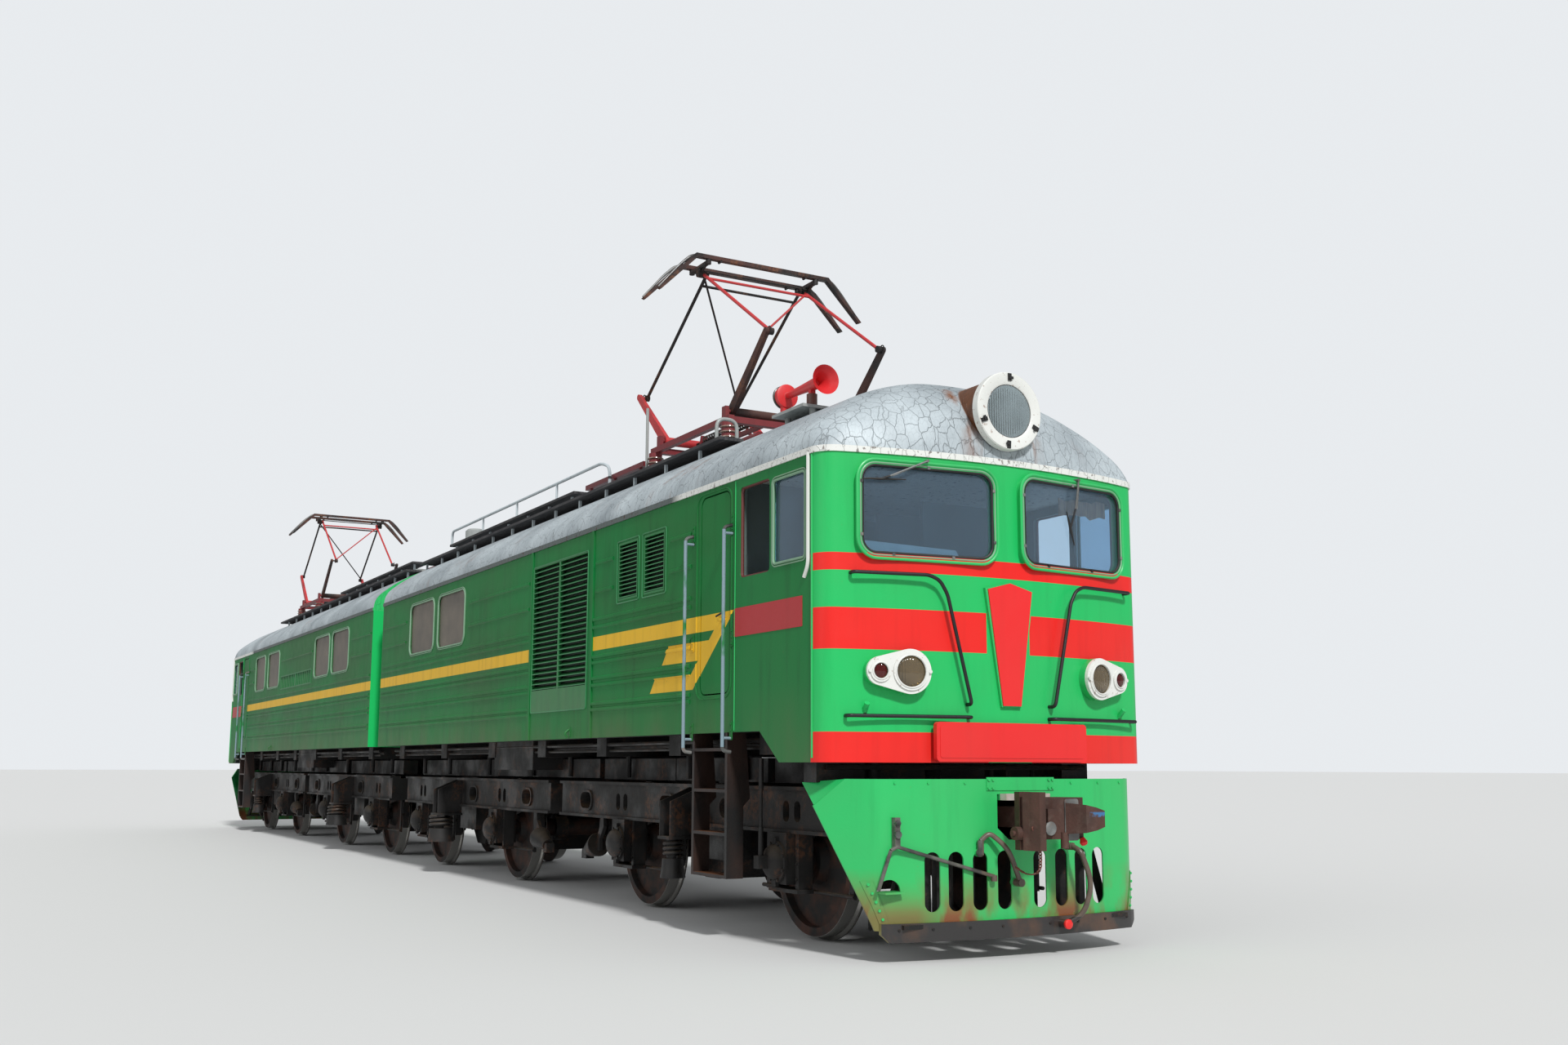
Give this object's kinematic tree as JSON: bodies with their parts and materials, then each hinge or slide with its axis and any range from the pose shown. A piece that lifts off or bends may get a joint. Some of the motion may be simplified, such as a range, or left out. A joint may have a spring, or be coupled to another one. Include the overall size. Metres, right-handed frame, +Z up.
{
  "type": "two-section eight-axle electric locomotive",
  "caption": "Mainline electric locomotive in two hinged sections on articulated bogies, with turning wheelsets, cab doors and raised pantographs",
  "frame": {"origin": "centre of the footprint at the lowest point of the wheel flanges", "axes": "+X to the front cab, +Y to its left, +Z up"},
  "size_m": [27.52, 3.27, 6.52],
  "materials": {
    "body_green": "weathered green gloss paint",
    "pilot_green": "bright green gloss paint",
    "roof_silver": "crazed aluminium paint with rust runs",
    "frame_black": "black paint under dust",
    "bogie_black": "cast steel, black and oily",
    "wheel_steel": "dark steel with bright treads",
    "window_glass": "clear glass",
    "board_dark": "dark weathered boards",
    "gear_red": "red paint, dirty",
    "panto_black": "dark bare tube",
    "lamp_white": "white paint",
    "cab_grey": "grey paint",
    "bellows_rubber": "black rubberised cloth",
    "coupler_rust": "rusted cast steel"
  },
  "bodies": {
    "section_a": {"underframe_a": "frame_black", "body_walls_a": "body_green", "cab_shell_a": "body_green", "roof_a": "roof_silver", "glazing_a": "window_glass", "louvres_a": "body_green", "walkways_a": "board_dark", "roof_gear_a": "gear_red", "lamps_a": "lamp_white", "interior_a": "cab_grey", "ladders_a": "frame_black", "gangway_a": "bellows_rubber", "panto_base_a": "gear_red"},
    "section_b": {"underframe_b": "frame_black", "body_walls_b": "body_green", "cab_shell_b": "body_green", "roof_b": "roof_silver", "glazing_b": "window_glass", "louvres_b": "body_green", "walkways_b": "board_dark", "roof_gear_b": "gear_red", "lamps_b": "lamp_white", "interior_b": "cab_grey", "ladders_b": "frame_black", "gangway_b": "bellows_rubber", "panto_base_b": "gear_red"},
    "bogie_1": {"bogie_1": "bogie_black", "pilot_a": "pilot_green"},
    "bogie_2": {"bogie_2": "bogie_black"},
    "bogie_3": {"bogie_3": "bogie_black"},
    "bogie_4": {"bogie_4": "bogie_black", "pilot_b": "pilot_green"},
    "wheelset_1": {"wheelset_1": "wheel_steel"},
    "wheelset_2": {"wheelset_2": "wheel_steel"},
    "wheelset_3": {"wheelset_3": "wheel_steel"},
    "wheelset_4": {"wheelset_4": "wheel_steel"},
    "wheelset_5": {"wheelset_5": "wheel_steel"},
    "wheelset_6": {"wheelset_6": "wheel_steel"},
    "wheelset_7": {"wheelset_7": "wheel_steel"},
    "wheelset_8": {"wheelset_8": "wheel_steel"},
    "coupler_a": {"coupler_a": "coupler_rust"},
    "coupler_b": {"coupler_b": "coupler_rust"},
    "door_right_a": {"door_right_a": "body_green"},
    "door_left_a": {"door_left_a": "body_green"},
    "door_right_b": {"door_right_b": "body_green"},
    "door_left_b": {"door_left_b": "body_green"},
    "panto_lower_front_a": {"panto_lower_front_a": "gear_red"},
    "panto_lower_rear_a": {"panto_lower_rear_a": "gear_red"},
    "panto_upper_front_a": {"panto_upper_front_a": "panto_black"},
    "panto_upper_rear_a": {"panto_upper_rear_a": "panto_black"},
    "panto_head_a": {"panto_head_a": "panto_black"},
    "panto_lower_front_b": {"panto_lower_front_b": "gear_red"},
    "panto_lower_rear_b": {"panto_lower_rear_b": "gear_red"},
    "panto_upper_front_b": {"panto_upper_front_b": "panto_black"},
    "panto_upper_rear_b": {"panto_upper_rear_b": "panto_black"},
    "panto_head_b": {"panto_head_b": "panto_black"}
  },
  "joints": [
    {"name": "section_hinge", "type": "hinge", "parent": "section_a", "child": "section_b", "pos_m": [0, 0, 1.06], "axis": [0, 0, 1], "range_deg": [-6, 6]},
    {"name": "bogie_yaw_1", "type": "hinge", "parent": "section_a", "child": "bogie_1", "pos_m": [10, 0, 1.225], "axis": [0, 0, 1], "range_deg": [-1.7, 1.7]},
    {"name": "bogie_yaw_2", "type": "hinge", "parent": "section_a", "child": "bogie_2", "pos_m": [2.95, 0, 1.225], "axis": [0, 0, 1], "range_deg": [-1.7, 1.7]},
    {"name": "bogie_yaw_3", "type": "hinge", "parent": "section_b", "child": "bogie_3", "pos_m": [-2.95, 0, 1.225], "axis": [0, 0, 1], "range_deg": [-1.7, 1.7]},
    {"name": "bogie_yaw_4", "type": "hinge", "parent": "section_b", "child": "bogie_4", "pos_m": [-10, 0, 1.225], "axis": [0, 0, 1], "range_deg": [-1.7, 1.7]},
    {"name": "axle_1", "type": "hinge", "parent": "bogie_1", "child": "wheelset_1", "pos_m": [11.6, 0, 0.628], "axis": [0, 1, 0], "continuous": true},
    {"name": "axle_2", "type": "hinge", "parent": "bogie_1", "child": "wheelset_2", "pos_m": [8.4, 0, 0.628], "axis": [0, 1, 0], "continuous": true},
    {"name": "axle_3", "type": "hinge", "parent": "bogie_2", "child": "wheelset_3", "pos_m": [4.55, 0, 0.628], "axis": [0, 1, 0], "continuous": true},
    {"name": "axle_4", "type": "hinge", "parent": "bogie_2", "child": "wheelset_4", "pos_m": [1.35, 0, 0.628], "axis": [0, 1, 0], "continuous": true},
    {"name": "axle_5", "type": "hinge", "parent": "bogie_3", "child": "wheelset_5", "pos_m": [-1.35, 0, 0.628], "axis": [0, 1, 0], "continuous": true},
    {"name": "axle_6", "type": "hinge", "parent": "bogie_3", "child": "wheelset_6", "pos_m": [-4.55, 0, 0.628], "axis": [0, 1, 0], "continuous": true},
    {"name": "axle_7", "type": "hinge", "parent": "bogie_4", "child": "wheelset_7", "pos_m": [-8.4, 0, 0.628], "axis": [0, 1, 0], "continuous": true},
    {"name": "axle_8", "type": "hinge", "parent": "bogie_4", "child": "wheelset_8", "pos_m": [-11.6, 0, 0.628], "axis": [0, 1, 0], "continuous": true},
    {"name": "coupler_swing_a", "type": "hinge", "parent": "bogie_1", "child": "coupler_a", "pos_m": [12.76, 0, 1.068], "axis": [0, 0, 1], "range_deg": [-5, 5]},
    {"name": "coupler_swing_b", "type": "hinge", "parent": "bogie_4", "child": "coupler_b", "pos_m": [-12.76, 0, 1.068], "axis": [0, 0, 1], "range_deg": [-5, 5]},
    {"name": "door_right_a_hinge", "type": "hinge", "parent": "section_a", "child": "door_right_a", "pos_m": [10.889, -1.46, 2.8], "axis": [0, 0, 1], "range_deg": [0, 90]},
    {"name": "door_left_a_hinge", "type": "hinge", "parent": "section_a", "child": "door_left_a", "pos_m": [10.889, 1.46, 2.8], "axis": [0, 0, -1], "range_deg": [0, 90]},
    {"name": "door_right_b_hinge", "type": "hinge", "parent": "section_b", "child": "door_right_b", "pos_m": [-10.889, 1.46, 2.8], "axis": [0, 0, 1], "range_deg": [0, 90]},
    {"name": "door_left_b_hinge", "type": "hinge", "parent": "section_b", "child": "door_left_b", "pos_m": [-10.889, -1.46, 2.8], "axis": [0, 0, -1], "range_deg": [0, 90]},
    {"name": "panto_a_lift", "type": "hinge", "parent": "section_a", "child": "panto_lower_front_a", "pos_m": [9.7, 0, 4.768], "axis": [0, -1, 0], "range_deg": [-45, 14]},
    {"name": "panto_a_rear_arm", "type": "hinge", "parent": "section_a", "child": "panto_lower_rear_a", "pos_m": [8.2, 0, 4.768], "axis": [0, 1, 0], "range_deg": [-45, 14]},
    {"name": "panto_a_front_knee", "type": "hinge", "parent": "panto_lower_front_a", "child": "panto_upper_front_a", "pos_m": [10.39856, 0, 5.39698], "axis": [0, 1, 0], "range_deg": [-67, 21]},
    {"name": "panto_a_rear_knee", "type": "hinge", "parent": "panto_lower_rear_a", "child": "panto_upper_rear_a", "pos_m": [7.50144, 0, 5.39698], "axis": [0, -1, 0], "range_deg": [-67, 21]},
    {"name": "panto_a_head", "type": "hinge", "parent": "panto_upper_front_a", "child": "panto_head_a", "pos_m": [8.95, 0, 6.38957], "axis": [0, 1, 0], "range_deg": [-7, 21]},
    {"name": "panto_b_lift", "type": "hinge", "parent": "section_b", "child": "panto_lower_front_b", "pos_m": [-9.7, 0, 4.768], "axis": [0, 1, 0], "range_deg": [-45, 14]},
    {"name": "panto_b_rear_arm", "type": "hinge", "parent": "section_b", "child": "panto_lower_rear_b", "pos_m": [-8.2, 0, 4.768], "axis": [0, -1, 0], "range_deg": [-45, 14]},
    {"name": "panto_b_front_knee", "type": "hinge", "parent": "panto_lower_front_b", "child": "panto_upper_front_b", "pos_m": [-10.39856, 0, 5.39698], "axis": [0, -1, 0], "range_deg": [-67, 21]},
    {"name": "panto_b_rear_knee", "type": "hinge", "parent": "panto_lower_rear_b", "child": "panto_upper_rear_b", "pos_m": [-7.50144, 0, 5.39698], "axis": [0, 1, 0], "range_deg": [-67, 21]},
    {"name": "panto_b_head", "type": "hinge", "parent": "panto_upper_front_b", "child": "panto_head_b", "pos_m": [-8.95, 0, 6.38957], "axis": [0, -1, 0], "range_deg": [-7, 21]}
  ],
  "couplings": [
    {"joint": "bogie_yaw_1", "follows": "section_hinge", "ratio": -0.272},
    {"joint": "bogie_yaw_2", "follows": "section_hinge", "ratio": 0.272},
    {"joint": "bogie_yaw_3", "follows": "section_hinge", "ratio": -0.272},
    {"joint": "bogie_yaw_4", "follows": "section_hinge", "ratio": 0.272},
    {"joint": "panto_a_rear_arm", "follows": "panto_a_lift", "ratio": 1},
    {"joint": "panto_a_front_knee", "follows": "panto_a_lift", "ratio": 1.45},
    {"joint": "panto_a_rear_knee", "follows": "panto_a_lift", "ratio": 1.45},
    {"joint": "panto_a_head", "follows": "panto_a_lift", "ratio": -0.45},
    {"joint": "panto_b_rear_arm", "follows": "panto_b_lift", "ratio": 1},
    {"joint": "panto_b_front_knee", "follows": "panto_b_lift", "ratio": 1.45},
    {"joint": "panto_b_rear_knee", "follows": "panto_b_lift", "ratio": 1.45},
    {"joint": "panto_b_head", "follows": "panto_b_lift", "ratio": -0.45}
  ]
}
